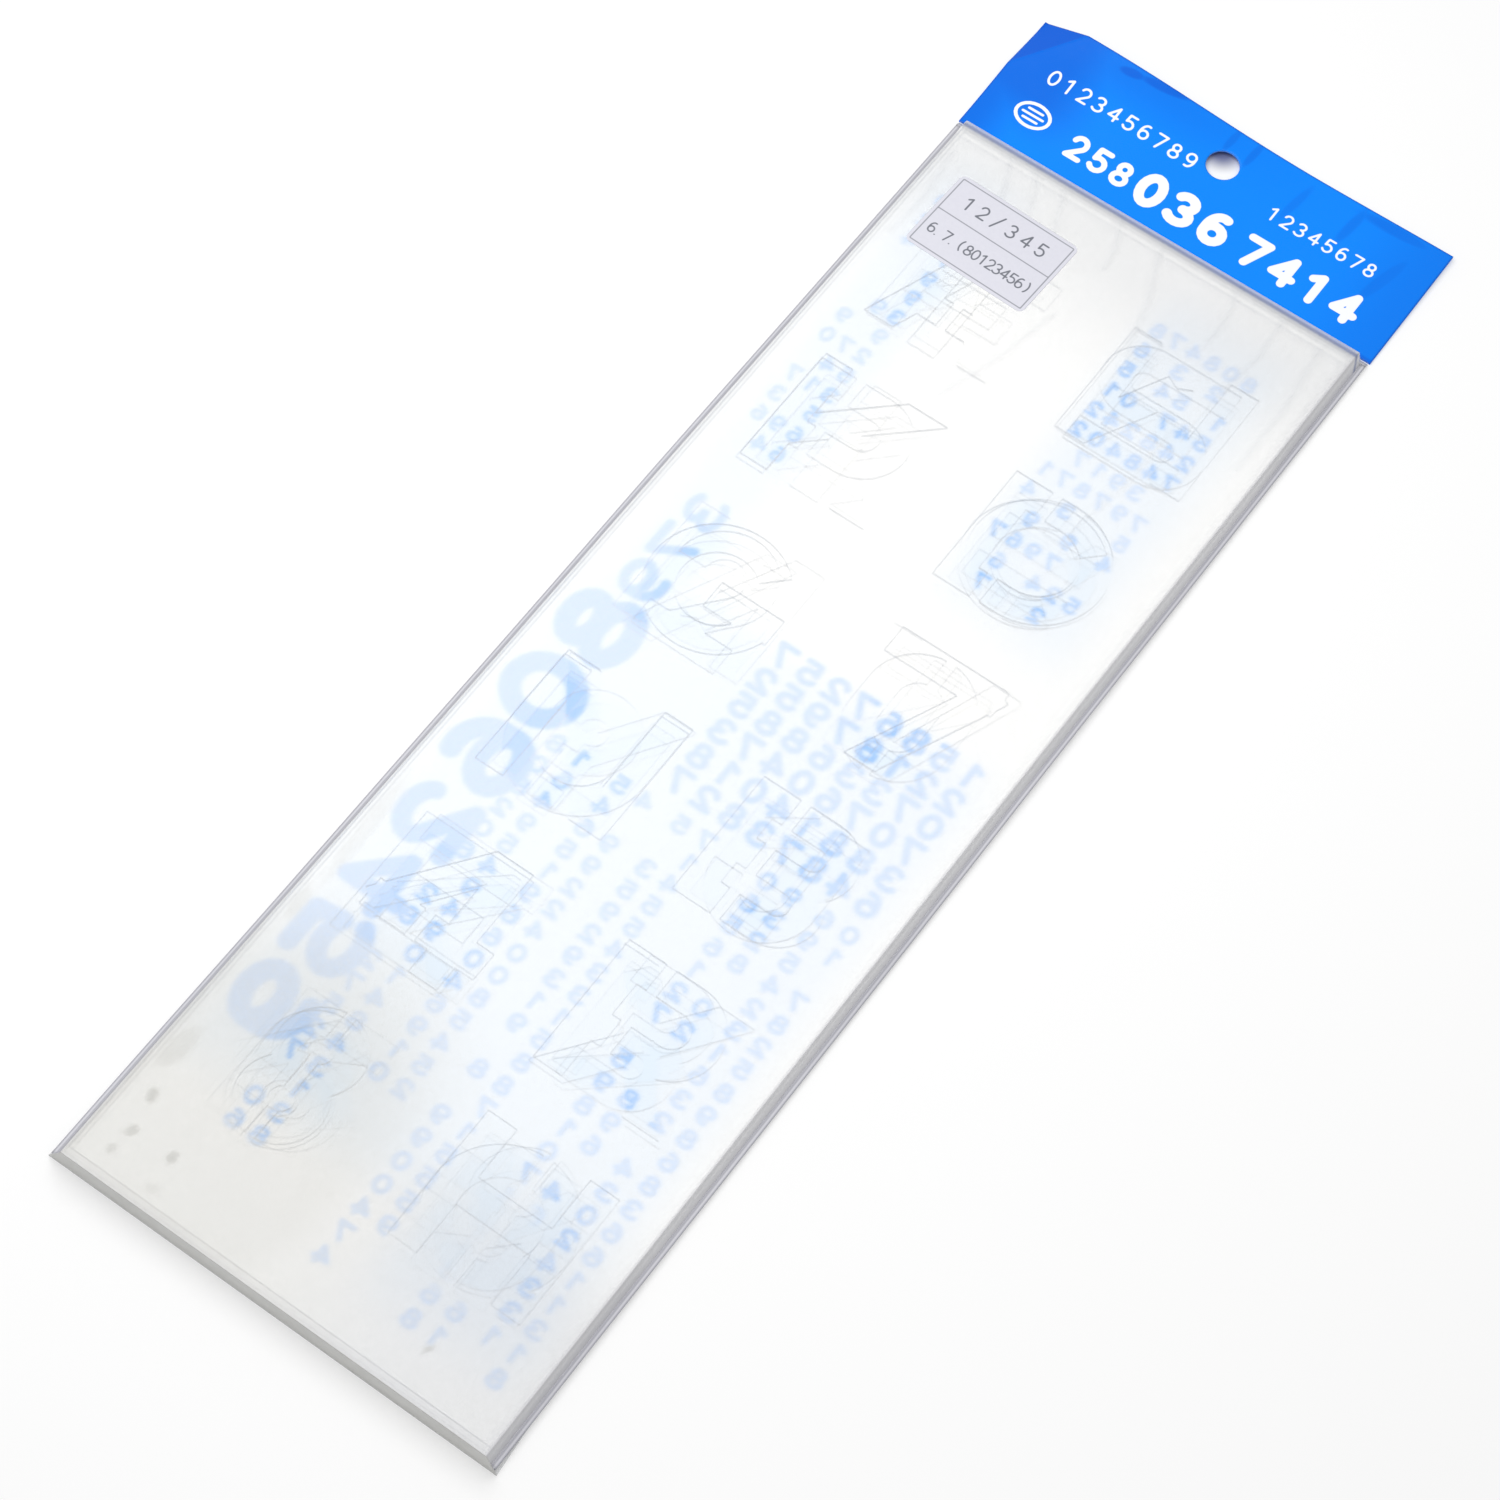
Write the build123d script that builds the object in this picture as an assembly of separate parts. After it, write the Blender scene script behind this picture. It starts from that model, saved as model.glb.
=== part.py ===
from build123d import *
import math
import os

# A set of lettering stencils in its clear hanging bag, lying on its back.
# Lengths are in millimetres. +Y runs from the bag's mouth to the header, +Z is up.

# Stencil plates
plate_width = 100.0
plate_length = 300.0
plate_thickness = 0.75
plate_gap = 0.05

# Character windows in a plate
letter_columns = 2
letter_rows = 6
large_letter_height = 31.0
small_letter_height = 26.0
side_margin = 10.25
end_margin = 22.0
tie_width = 2.4
stroke_share = 0.22

# Clear bag
film_thickness = 0.1
bag_slack = 5.6
side_play = 0.4
stack_shift = 0.9
mouth_play = 1.9
head_play = 1.0
shoulder_run = 1.8
seam_width = 1.2
bead_radius = 0.18

# Closing flap and its tape
ear_reach = 0.6
flap_length = 25.0
flap_draw = 2.0
tape_width = 8.0
tape_thickness = 0.1
tape_margin = 3.0
fold_gap = 0.05

# Header
header_lap = 0.3
header_height = 34.6
header_sheet = 0.15
crease_gap = 0.4
hang_hole_radius = 3.75
hang_hole_inset = 9.4

# Label
label_width = 31.0
label_height = 21.5
label_thickness = 0.1
label_corner_radius = 1.5
label_left = 26.7
label_drop = 22.8
label_turn = -2.0

overrun = 1.0

# Centre lines of each character's strokes, in shares of its height, from its lower left corner.
# Four numbers are a straight stroke from one point to another, and five are a bend:
# its centre, its radius and the angles where it starts and ends.
stem = (0.11, 0.0, 0.11, 1.0)
right_stem = (0.89, 0.0, 0.89, 1.0)
head_arm = (0.11, 0.89, 0.85, 0.89)
waist_arm = (0.11, 0.5, 0.75, 0.5)
foot_arm = (0.11, 0.11, 0.85, 0.11)
ring = (0.5, 0.5, 0.39, 0, 360)
stroke_shares = {
    "A": [(0.08, -0.1, 0.52, 1.1), (0.92, -0.1, 0.48, 1.1), (0.25, 0.3, 0.75, 0.3)],
    "B": [stem, (0.11, 0.89, 0.6, 0.89), (0.11, 0.5, 0.6, 0.5), (0.11, 0.11, 0.6, 0.11),
          (0.6, 0.695, 0.195, -90, 90), (0.6, 0.305, 0.195, -90, 90)],
    "C": [(0.5, 0.5, 0.39, 45, 315)],
    "D": [stem, (0.11, 0.89, 0.5, 0.89), (0.11, 0.11, 0.5, 0.11), (0.5, 0.5, 0.39, -90, 90)],
    "E": [stem, head_arm, waist_arm, foot_arm],
    "F": [stem, head_arm, waist_arm],
    "G": [(0.5, 0.5, 0.39, 45, 360), (0.5, 0.45, 1.0, 0.45)],
    "H": [stem, right_stem, (0.11, 0.5, 0.89, 0.5)],
    "I": [(0.5, 0.0, 0.5, 1.0)],
    "J": [(0.75, 0.385, 0.75, 1.0), (0.475, 0.385, 0.275, 180, 360)],
    "K": [stem, (0.12, 0.32, 0.95, 1.1), (0.42, 0.62, 0.94, -0.1)],
    "L": [stem, foot_arm],
    "M": [stem, right_stem, (0.11, 1.0, 0.5, 0.25), (0.89, 1.0, 0.5, 0.25)],
    "N": [stem, right_stem, (0.08, 1.05, 0.92, -0.05)],
    "O": [ring],
    "P": [stem, (0.11, 0.89, 0.58, 0.89), (0.11, 0.41, 0.58, 0.41), (0.58, 0.65, 0.24, -90, 90)],
    "Q": [ring, (0.62, 0.38, 1.0, 0.0)],
    "R": [stem, (0.11, 0.89, 0.58, 0.89), (0.11, 0.41, 0.58, 0.41), (0.58, 0.65, 0.24, -90, 90),
          (0.45, 0.46, 0.9, -0.1)],
    "S": [(0.305, 0.89, 0.9, 0.89), (0.305, 0.695, 0.195, 90, 270), (0.305, 0.5, 0.695, 0.5),
          (0.695, 0.305, 0.195, -90, 90), (0.1, 0.11, 0.695, 0.11)],
    "T": [(0.0, 0.89, 1.0, 0.89), (0.5, 0.0, 0.5, 1.0)],
    "U": [(0.11, 0.5, 0.11, 1.0), (0.89, 0.5, 0.89, 1.0), (0.5, 0.5, 0.39, 180, 360)],
    "V": [(0.06, 1.1, 0.52, -0.1), (0.94, 1.1, 0.48, -0.1)],
    "W": [stem, right_stem, (0.11, 0.0, 0.5, 0.75), (0.89, 0.0, 0.5, 0.75)],
    "X": [(0.05, -0.1, 0.95, 1.1), (0.95, -0.1, 0.05, 1.1)],
    "Y": [(0.5, 0.0, 0.5, 0.5), (0.53, 0.38, 0.05, 1.1), (0.47, 0.38, 0.95, 1.1)],
    "Z": [(0.05, 0.89, 0.95, 0.89), (0.05, 0.11, 0.95, 0.11), (0.12, 0.05, 0.88, 0.95)],
    "0": [(0.23, 0.38, 0.23, 0.62), (0.77, 0.38, 0.77, 0.62), (0.5, 0.62, 0.27, 0, 180),
          (0.5, 0.38, 0.27, 180, 360)],
    "1": [(0.55, 0.0, 0.55, 1.0), (0.22, 0.68, 0.56, 0.92)],
    "2": [(0.5, 0.63, 0.26, -40, 180), (0.7, 0.463, 0.35, 0.047), (0.2, 0.11, 0.86, 0.11)],
    "3": [(0.15, 0.89, 0.5, 0.89), (0.5, 0.695, 0.195, -90, 90), (0.3, 0.5, 0.5, 0.5),
          (0.5, 0.305, 0.195, -90, 90), (0.15, 0.11, 0.5, 0.11)],
    "4": [(0.7, 0.0, 0.7, 1.0), (0.05, 0.3, 0.95, 0.3), (0.1, 0.24, 0.68, 1.02)],
    "5": [(0.25, 0.5, 0.25, 1.0), (0.15, 0.89, 0.85, 0.89), (0.15, 0.555, 0.55, 0.555),
          (0.55, 0.3325, 0.2225, -90, 90), (0.12, 0.11, 0.55, 0.11)],
    "6": [(0.5, 0.66, 0.23, 30, 180), (0.27, 0.34, 0.27, 0.66), (0.5, 0.34, 0.23, 0, 360)],
    "7": [(0.08, 0.89, 0.92, 0.89), (0.86, 0.97, 0.38, -0.1)],
    "8": [(0.5, 0.695, 0.195, 0, 360), (0.5, 0.305, 0.195, 0, 360)],
    "9": [(0.5, 0.66, 0.23, 0, 360), (0.73, 0.34, 0.73, 0.66), (0.5, 0.34, 0.23, 210, 360)],
    "+": [(0.5, 0.12, 0.5, 0.88), (0.12, 0.5, 0.88, 0.5)],
    "-": [(0.15, 0.5, 0.85, 0.5)],
    "x": [(0.2, 0.2, 0.8, 0.8), (0.2, 0.8, 0.8, 0.2)],
    "=": [(0.15, 0.68, 0.85, 0.68), (0.15, 0.32, 0.85, 0.32)],
    "/": [(0.22, -0.1, 0.78, 1.1)],
    "!": [(0.5, 0.34, 0.5, 1.0), (0.5, 0.0, 0.5, 0.22)],
    "?": [(0.5, 0.68, 0.21, -90, 180), (0.5, 0.34, 0.5, 0.5), (0.5, 0.0, 0.5, 0.22)],
    ":": [(0.5, 0.62, 0.5, 0.84), (0.5, 0.16, 0.5, 0.38)],
    "<": [(0.82, 0.95, 0.22, 0.44), (0.82, 0.05, 0.22, 0.56)],
    ">": [(0.18, 0.95, 0.78, 0.44), (0.18, 0.05, 0.78, 0.56)],
    "^": [(0.5, 0.0, 0.5, 0.8), (0.56, 0.95, 0.1, 0.42), (0.44, 0.95, 0.9, 0.42)],
    "#": [(0.33, 0.0, 0.33, 1.0), (0.67, 0.0, 0.67, 1.0), (0.0, 0.33, 1.0, 0.33),
          (0.0, 0.67, 1.0, 0.67)],
}

# Centre lines of the ties, the narrow bridges that hold a character's island in the plate
tie_shares = {
    "A": (0.5, 0.1, 0.5, 0.5), "B": (0.33, 0.0, 0.33, 1.0), "D": (0.33, 0.0, 0.33, 1.0),
    "O": (0.5, 0.0, 0.5, 1.0), "P": (0.33, 0.25, 0.33, 1.0), "Q": (0.5, 0.0, 0.5, 1.0),
    "R": (0.33, 0.25, 0.33, 1.0), "0": (0.5, 0.0, 0.5, 1.0), "4": (0.45, 0.15, 0.45, 0.45),
    "6": (0.5, 0.0, 0.5, 0.7), "8": (0.5, 0.0, 0.5, 1.0), "9": (0.5, 0.3, 0.5, 1.0),
    "#": (0.5, 0.0, 0.5, 1.0),
}

# The plates from the top of the stack down: the characters' height, and the characters in
# rows from the header end
plate_sets = [
    (large_letter_height, "AWKDG7NB4R8H"),
    (large_letter_height, "TSPC20UJEX6Q"),
    (large_letter_height, "FLIOMVY1Z359"),
    (large_letter_height, "+-x=/!?:<>^#"),
    (small_letter_height, "AWKDG7NB4R8H"),
    (small_letter_height, "KHEVFZLTNXMY"),
    (small_letter_height, "FLIOMVY1Z359"),
    (small_letter_height, "+-x=/!?:<>^#"),
]
plate_count = len(plate_sets)

# How far each plate has slid in the bag, in shares of the bag's slack to the right and of the
# plate's play towards the header
slide_shares = [(0.0, 0.0), (-0.08, -0.31), (0.04, 0.17), (-0.15, -0.48), (-0.05, 0.1),
                (-0.14, -0.2), (0.02, -0.38), (-0.05, 0.07)]

# Heights of the layers
back_z = film_thickness + tape_thickness
seam_z = back_z + film_thickness
stack_z = seam_z + plate_gap
plate_step = plate_thickness + plate_gap
front_z = stack_z + plate_count * plate_step + film_thickness

# Places along the bag
header_core = 2 * film_thickness
total_length = (film_thickness + mouth_play + plate_length + head_play + shoulder_run + seam_width
                + crease_gap + header_height)
mouth_y = -total_length / 2
film_end_y = mouth_y + film_thickness + fold_gap
stack_low_y = mouth_y + film_thickness + mouth_play
stack_high_y = stack_low_y + plate_length
shoulder_y = stack_high_y + head_play
foot_y = shoulder_y + shoulder_run
crease_y = foot_y + seam_width
header_low_y = crease_y + crease_gap
header_mid_y = header_low_y + header_height / 2

# Places across the bag
bag_width = plate_width + bag_slack
header_width = bag_width + 2 * header_lap
flat_left_x = stack_shift - plate_width / 2 - side_play
flat_right_x = stack_shift + plate_width / 2 + side_play
rim_x = bag_width / 2 - seam_width
ear_x = bag_width / 2 + ear_reach


# A stroke of one character, drawn about its centre line
def stroke(shares, height, width):
    if len(shares) == 4:
        start = Vector(shares[0], shares[1]) * height
        end = Vector(shares[2], shares[3]) * height
        run = end - start
        turn = math.degrees(math.atan2(run.Y, run.X))
        middle = (start + end) / 2
        return Pos(middle.X, middle.Y) * Rot(0, 0, turn) * Rectangle(run.length, width)
    centre = (shares[0] * height, shares[1] * height)
    outer_radius = shares[2] * height + width / 2
    inner_radius = shares[2] * height - width / 2
    start_angle, end_angle = shares[3:]
    if end_angle - start_angle == 360:
        return Pos(*centre) * (Circle(outer_radius) - Circle(inner_radius))
    outer = CenterArc(centre, outer_radius, start_angle, end_angle - start_angle)
    inner = CenterArc(centre, inner_radius, start_angle, end_angle - start_angle)
    ends = [Line(outer @ 0, inner @ 0), Line(outer @ 1, inner @ 1)]
    return make_face(outer.edges() + inner.edges() + ends)


# The window of one character: its strokes, cut level with its cell and parted by its ties
def window(character, height):
    shape = Sketch() + [stroke(shares, height, stroke_share * height)
                        for shares in stroke_shares[character]]
    cell = Pos(height / 2, height / 2) * Rectangle(height, height)
    shape = shape & cell
    if character in tie_shares:
        shape = shape - stroke(tie_shares[character], height, tie_width)
    return Pos(-height / 2, -height / 2) * shape


# One stencil plate, lying in its layer of the stack
def stencil_plate(layer):
    height, characters = plate_sets[layer]
    column_pitch = (plate_width - large_letter_height - 2 * side_margin) / (letter_columns - 1)
    row_pitch = (plate_length - large_letter_height - 2 * end_margin) / (letter_rows - 1)
    sheet = Sketch() + Rectangle(plate_width, plate_length)
    for place, character in enumerate(characters):
        row, column = divmod(place, letter_columns)
        x = (column - (letter_columns - 1) / 2) * column_pitch
        y = ((letter_rows - 1) / 2 - row) * row_pitch
        sheet = sheet - Pos(x, y) * window(character, height)
    bottom_z = stack_z + (plate_count - 1 - layer) * plate_step
    right_share, head_share = slide_shares[layer]
    middle_x = stack_shift + right_share * bag_slack
    middle_y = (stack_low_y + stack_high_y) / 2 + head_share * (mouth_play + head_play)
    return Pos(middle_x, middle_y, bottom_z) * extrude(sheet, plate_thickness)


# The form that the front film lies round: level over the stack and sloping to the seams at its
# sides and head. A wall greater than zero gives the same form moved inwards by that much.
def bag_form(wall):
    rise = front_z - seam_z
    level_z = front_z - wall
    low_z = seam_z - overrun
    low_y = film_end_y - overrun if wall else film_end_y

    def slope(rim, flat):
        run = rim - flat
        foot = rim - wall * math.hypot(rise, run) / rise
        return foot, foot - run * (rise - wall) / rise

    left_foot, left_top = slope(rim_x, -flat_left_x)
    right_foot, right_top = slope(rim_x, flat_right_x)
    head_foot, head_top = slope(foot_y, shoulder_y)
    across = Polyline((-left_foot, low_z), (-left_foot, seam_z), (-left_top, level_z),
                      (right_top, level_z), (right_foot, seam_z), (right_foot, low_z), close=True)
    along = Polyline((low_y, low_z), (low_y, level_z), (head_top, level_z),
                     (head_foot, seam_z), (head_foot, low_z), close=True)
    prism = Pos(0, head_foot, 0) * extrude(Plane.XZ * make_face(across), head_foot - low_y)
    wedge = extrude(Plane.YZ * make_face(along), rim_x, both=True)
    return prism & wedge


def front_film():
    shell = bag_form(0) - bag_form(film_thickness)
    return split(shell, Plane.XY.offset(seam_z), keep=Keep.TOP)


def back_film():
    sheet = Box(2 * rim_x, foot_y - film_end_y, film_thickness)
    return Pos(0, (foot_y + film_end_y) / 2, back_z + film_thickness / 2) * sheet


# A side seam, melted together and cut hot, with a bead along its edge
def side_seam(side):
    strip = Pos((rim_x + bag_width / 2) / 2, seam_z) * Rectangle(seam_width, 2 * film_thickness)
    bead = Pos(bag_width / 2 - bead_radius, seam_z) * Circle(bead_radius)
    profile = strip + bead
    if side < 0:
        profile = mirror(profile, Plane.YZ)
    return Pos(0, foot_y, 0) * extrude(Plane.XZ * profile, foot_y - film_end_y)


# The seam across the bag's head, ahead of the crease that the header turns on
def head_seam():
    return Pos(0, (foot_y + crease_y) / 2, seam_z) * Box(bag_width, seam_width, 2 * film_thickness)


# The end wall of the bag, from its crease at the front film to its fold on the table
def mouth_lip():
    fold_z = film_thickness + fold_gap
    wall = make_face(Polyline((flat_left_x, front_z), (flat_right_x, front_z), (ear_x, fold_z),
                              (-ear_x, fold_z), close=True))
    return Pos(0, mouth_y + film_thickness, 0) * extrude(Plane.XZ * wall, film_thickness)


# The flap that folds under the back film and narrows towards its free edge
def closing_flap():
    outline = make_face(Polyline((-ear_x, 0), (ear_x, 0), (ear_x - flap_draw, flap_length),
                                 (flap_draw - ear_x, flap_length), close=True))
    return Pos(0, mouth_y, 0) * extrude(outline, film_thickness)


def flap_tape():
    middle_y = mouth_y + flap_length - tape_margin - tape_width / 2
    width = 2 * (ear_x - flap_draw - tape_margin)
    tape = Box(width, tape_width, tape_thickness)
    return Pos(0, middle_y, film_thickness + tape_thickness / 2) * tape


# One layer of the header, with the round hole that the bag hangs by
def header_layer(width, thickness, bottom_z):
    hole = Pos(0, header_height / 2 - hang_hole_inset) * Circle(hang_hole_radius)
    outline = Rectangle(width, header_height) - hole
    return Pos(0, header_mid_y, bottom_z) * extrude(outline, thickness)


def label():
    outline = RectangleRounded(label_width, label_height, label_corner_radius)
    paper = Rot(0, 0, label_turn) * extrude(outline, label_thickness)
    return Pos(-label_left, stack_high_y - label_drop, front_z) * paper


parts = {
    "front_film": front_film(),
    "back_film": back_film(),
    "left_seam": side_seam(-1),
    "right_seam": side_seam(1),
    "head_seam": head_seam(),
    "mouth_lip": mouth_lip(),
    "closing_flap": closing_flap(),
    "flap_tape": flap_tape(),
    "header_front": header_layer(header_width, header_sheet, seam_z + header_core / 2),
    "header_core": header_layer(bag_width, header_core, seam_z - header_core / 2),
    "header_back": header_layer(header_width, header_sheet, seam_z - header_core / 2 - header_sheet),
    "label": label(),
}
for layer in range(plate_count):
    parts[f"stencil_plate_{layer + 1}"] = stencil_plate(layer)

os.makedirs("parts", exist_ok=True)
for name, solid in parts.items():
    export_step(solid, f"parts/{name}.step")
print("total length", round(total_length, 2), "height", round(front_z + label_thickness, 2))
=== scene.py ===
import math

import bpy
import numpy as np
from mathutils import Matrix, Vector


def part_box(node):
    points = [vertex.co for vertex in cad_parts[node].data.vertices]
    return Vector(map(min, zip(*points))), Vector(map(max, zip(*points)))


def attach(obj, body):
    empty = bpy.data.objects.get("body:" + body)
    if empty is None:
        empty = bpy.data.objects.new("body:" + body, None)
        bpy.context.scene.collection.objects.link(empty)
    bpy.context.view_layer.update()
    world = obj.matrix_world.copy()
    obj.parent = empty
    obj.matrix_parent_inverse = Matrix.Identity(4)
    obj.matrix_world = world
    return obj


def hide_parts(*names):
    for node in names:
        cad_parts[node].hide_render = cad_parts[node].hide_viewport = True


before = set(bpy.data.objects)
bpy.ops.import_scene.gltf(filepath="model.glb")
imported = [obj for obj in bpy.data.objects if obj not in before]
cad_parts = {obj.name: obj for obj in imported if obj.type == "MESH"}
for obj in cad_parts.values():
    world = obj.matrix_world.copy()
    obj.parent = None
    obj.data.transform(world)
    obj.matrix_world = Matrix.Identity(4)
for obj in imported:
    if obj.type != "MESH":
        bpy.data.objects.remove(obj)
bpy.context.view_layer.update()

mm = 0.001
scene = bpy.context.scene
seed = np.random.default_rng(7)


# socket arithmetic for materials

class Wire:
    # one output socket; an expression on it adds Math nodes
    def __init__(self, maker, socket):
        self.maker = maker
        self.socket = socket

    def math(self, kind, *others):
        return self.maker.node("ShaderNodeMath", {"operation": kind}, [self, *others])

    def __add__(self, other):
        return self.math("ADD", other)

    __radd__ = __add__

    def __mul__(self, other):
        return self.math("MULTIPLY", other)

    __rmul__ = __mul__

    def __sub__(self, other):
        return self.math("SUBTRACT", other)

    def __rsub__(self, other):
        return self.maker.node("ShaderNodeMath", {"operation": "SUBTRACT"}, [other, self])

    def __abs__(self):
        return self.math("ABSOLUTE")


class Finish:
    # one material: node() takes a node's type, its settings, then what goes into its sockets
    def __init__(self, name):
        self.material = bpy.data.materials.new(name)
        self.material.use_nodes = True
        self.tree = self.material.node_tree
        self.tree.nodes.clear()
        self.output = self.tree.nodes.new("ShaderNodeOutputMaterial")

    def node(self, kind, settings=None, inputs=(), give=0):
        made = self.tree.nodes.new(kind)
        for key, value in (settings or {}).items():
            setattr(made, key, value)
        pairs = inputs.items() if isinstance(inputs, dict) else enumerate(inputs)
        for key, value in pairs:
            if isinstance(value, Wire):
                self.tree.links.new(value.socket, made.inputs[key])
            else:
                made.inputs[key].default_value = value
        return Wire(self, made.outputs[give])

    def attribute(self, name):
        return self.node("ShaderNodeAttribute", {"attribute_name": name}, give="Fac")

    def place(self, scale=(1, 1, 1), turn=0.0):
        spot = self.node("ShaderNodeTexCoord", give="Object")
        return self.node("ShaderNodeMapping", {}, {"Vector": spot, "Scale": scale,
                                                   "Rotation": (0, 0, math.radians(turn))})

    def noise(self, size, detail=3.0, rough=0.55, stretch=(1, 1, 1), turn=0.0):
        where = self.place([s / (size * mm) for s in stretch], turn)
        return self.node("ShaderNodeTexNoise", {}, {"Vector": where, "Scale": 1.0, "Detail": detail,
                                                    "Roughness": rough})

    def ramp(self, value, low, high):
        return self.node("ShaderNodeMapRange", {"interpolation_type": "SMOOTHSTEP"}, [value, low, high, 0.0, 1.0])

    def blend(self, share, first, second):
        made = self.tree.nodes.new("ShaderNodeMix")
        made.data_type = "RGBA"
        for index, value in ((0, share), (6, first), (7, second)):
            if isinstance(value, Wire):
                self.tree.links.new(value.socket, made.inputs[index])
            elif index == 0:
                made.inputs[index].default_value = value
            else:
                made.inputs[index].default_value = (*value, 1.0)
        return Wire(self, made.outputs[2])

    def bump(self, height, distance):
        return self.node("ShaderNodeBump", {}, {"Height": height, "Distance": distance * mm, "Strength": 1.0})

    def surface(self, **sockets):
        names = {"color": "Base Color", "roughness": "Roughness", "alpha": "Alpha", "normal": "Normal",
                 "specular": "Specular IOR Level"}
        inputs = {}
        for key, value in sockets.items():
            inputs[names[key]] = (*value, 1.0) if isinstance(value, tuple) and len(value) == 3 else value
        return self.node("ShaderNodeBsdfPrincipled", {}, inputs)

    def mixed(self, share, first, second):
        return self.node("ShaderNodeMixShader", {}, [share, first, second])

    def done(self, shader):
        self.tree.links.new(shader.socket, self.output.inputs["Surface"])
        return self.material


# meshes worked out with numpy

def smooth(value, low, high):
    # rises from 0 at low to 1 at high along 3t^2 - 2t^3
    t = np.clip((value - low) / (high - low), 0, 1)
    return t * t * (3 - 2 * t)


def gridMesh(name, x, y, z, fields=None, flip=False, leftOut=None):
    # x, y, z are 2-D arrays of one shape, in millimetres; each cell of the grid becomes one face
    rows, columns = x.shape
    points = np.stack([x, y, z], axis=-1).reshape(-1, 3) * mm
    index = np.arange(rows * columns).reshape(rows, columns)
    corners = [index[:-1, :-1], index[:-1, 1:], index[1:, 1:], index[1:, :-1]]
    if flip:
        corners.reverse()
    faces = np.stack(corners, axis=-1).reshape(-1, 4)
    if leftOut is not None:
        faces = faces[~leftOut.reshape(-1)[faces].any(axis=1)]
    used, faces = np.unique(faces, return_inverse=True)
    faces = faces.reshape(-1, 4)
    mesh = bpy.data.meshes.new(name)
    mesh.from_pydata(points[used].tolist(), [], faces.tolist())
    mesh.polygons.foreach_set("use_smooth", np.ones(len(faces), bool))
    for key, values in (fields or {}).items():
        layer = mesh.attributes.new(key, "FLOAT", "POINT")
        layer.data.foreach_set("value", values.reshape(-1)[used].astype(np.float32))
    made = bpy.data.objects.new(name, mesh)
    scene.collection.objects.link(made)
    return made


def thicken(piece, thickness, offset):
    wall = piece.modifiers.new("wall", "SOLIDIFY")
    wall.thickness = thickness * mm
    wall.offset = offset
    wall.use_even_offset = False
    return piece


def dress(piece, material):
    piece.data.materials.clear()
    piece.data.materials.append(material)


def settle(piece, body, material, nodes):
    dress(piece, material)
    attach(piece, body)
    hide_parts(*nodes)
    return piece


def unblocked(piece):
    # light passes this piece as if it weren't there, as it does through thin milky sheets
    piece.visible_shadow = False
    piece.visible_diffuse = False


# figures drawn with strokes

def bend(cx, cy, rx, ry, start, end, count=12):
    # points on an ellipse about (cx, cy) from one angle to another
    angle = np.radians(np.linspace(start, end, count))
    return [(cx + rx * math.cos(a), cy + ry * math.sin(a)) for a in angle]


figureStrokes = {
    "0": [bend(0.3, 0.5, 0.24, 0.42, 0, 360, 20)],
    "1": [[(0.12, 0.76), (0.34, 0.92), (0.34, 0.08)]],
    "2": [bend(0.3, 0.67, 0.23, 0.25, 165, -35) + [(0.07, 0.08), (0.55, 0.08)]],
    "3": [bend(0.27, 0.71, 0.22, 0.21, 150, -85), bend(0.27, 0.29, 0.26, 0.22, 85, -150)],
    "4": [[(0.43, 0.08), (0.43, 0.92), (0.05, 0.32), (0.58, 0.32)]],
    "5": [[(0.52, 0.92), (0.14, 0.92), (0.11, 0.53)] + bend(0.29, 0.34, 0.25, 0.26, 120, -150)],
    "6": [bend(0.34, 0.5, 0.27, 0.42, 75, 180) + [(0.07, 0.34)], bend(0.3, 0.33, 0.23, 0.25, 0, 360, 16)],
    "7": [[(0.06, 0.92), (0.55, 0.92), (0.24, 0.08)]],
    "8": [bend(0.3, 0.71, 0.19, 0.2, 0, 360, 16), bend(0.3, 0.29, 0.24, 0.22, 0, 360, 16)],
    "9": [bend(0.26, 0.5, 0.27, 0.42, -105, 0) + [(0.53, 0.66)], bend(0.3, 0.67, 0.23, 0.25, 0, 360, 16)],
    "/": [[(0.08, 0.02), (0.52, 0.98)]],
    ".": [[(0.12, 0.08), (0.13, 0.08)]],
    "(": [bend(0.62, 0.5, 0.42, 0.6, 130, 230, 8)],
    ")": [bend(-0.02, 0.5, 0.42, 0.6, 50, -50, 8)],
}


def drawStroke(field, xs, ys, points, width, soft):
    # raises the field to 1 within half the width of the line through the points, fading out over soft
    reach = width / 2 + soft
    points = np.array(points, float)
    low = points.min(0) - reach
    high = points.max(0) + reach
    c0, c1 = np.searchsorted(xs, [low[0], high[0]])
    r0, r1 = np.searchsorted(ys, [low[1], high[1]])
    if c0 == c1 or r0 == r1:
        return
    gx, gy = np.meshgrid(xs[c0:c1], ys[r0:r1])
    start, end = points[:-1], points[1:]
    run = end - start
    dx = gx[..., None] - start[:, 0]
    dy = gy[..., None] - start[:, 1]
    along = (dx * run[:, 0] + dy * run[:, 1]) / np.maximum((run ** 2).sum(1), 1e-9)
    along = np.clip(along, 0, 1)
    gap = np.hypot(dx - along * run[:, 0], dy - along * run[:, 1]).min(-1)
    cover = smooth(-gap, -width / 2 - soft / 2, -width / 2 + soft / 2)
    field[r0:r1, c0:c1] = np.maximum(field[r0:r1, c0:c1], cover)


def drawFigures(field, xs, ys, text, x, y, height, width, soft, turn=0.0, mirror=False, step=0.78, wide=1.0):
    # writes a row of figures from (x, y), turned by an angle, with the given stroke width
    angle = math.radians(turn)
    across = np.array([math.cos(angle), math.sin(angle)])
    up = np.array([-math.sin(angle), math.cos(angle)])
    if mirror:
        across = -across
    for place, figure in enumerate(text):
        for line in figureStrokes.get(figure, []):
            line = np.array(line, float)
            spot = (line[:, :1] * wide + place * step * wide) * height * across + line[:, 1:] * height * up
            drawStroke(field, xs, ys, spot + np.array([x, y]), width, soft)


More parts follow.
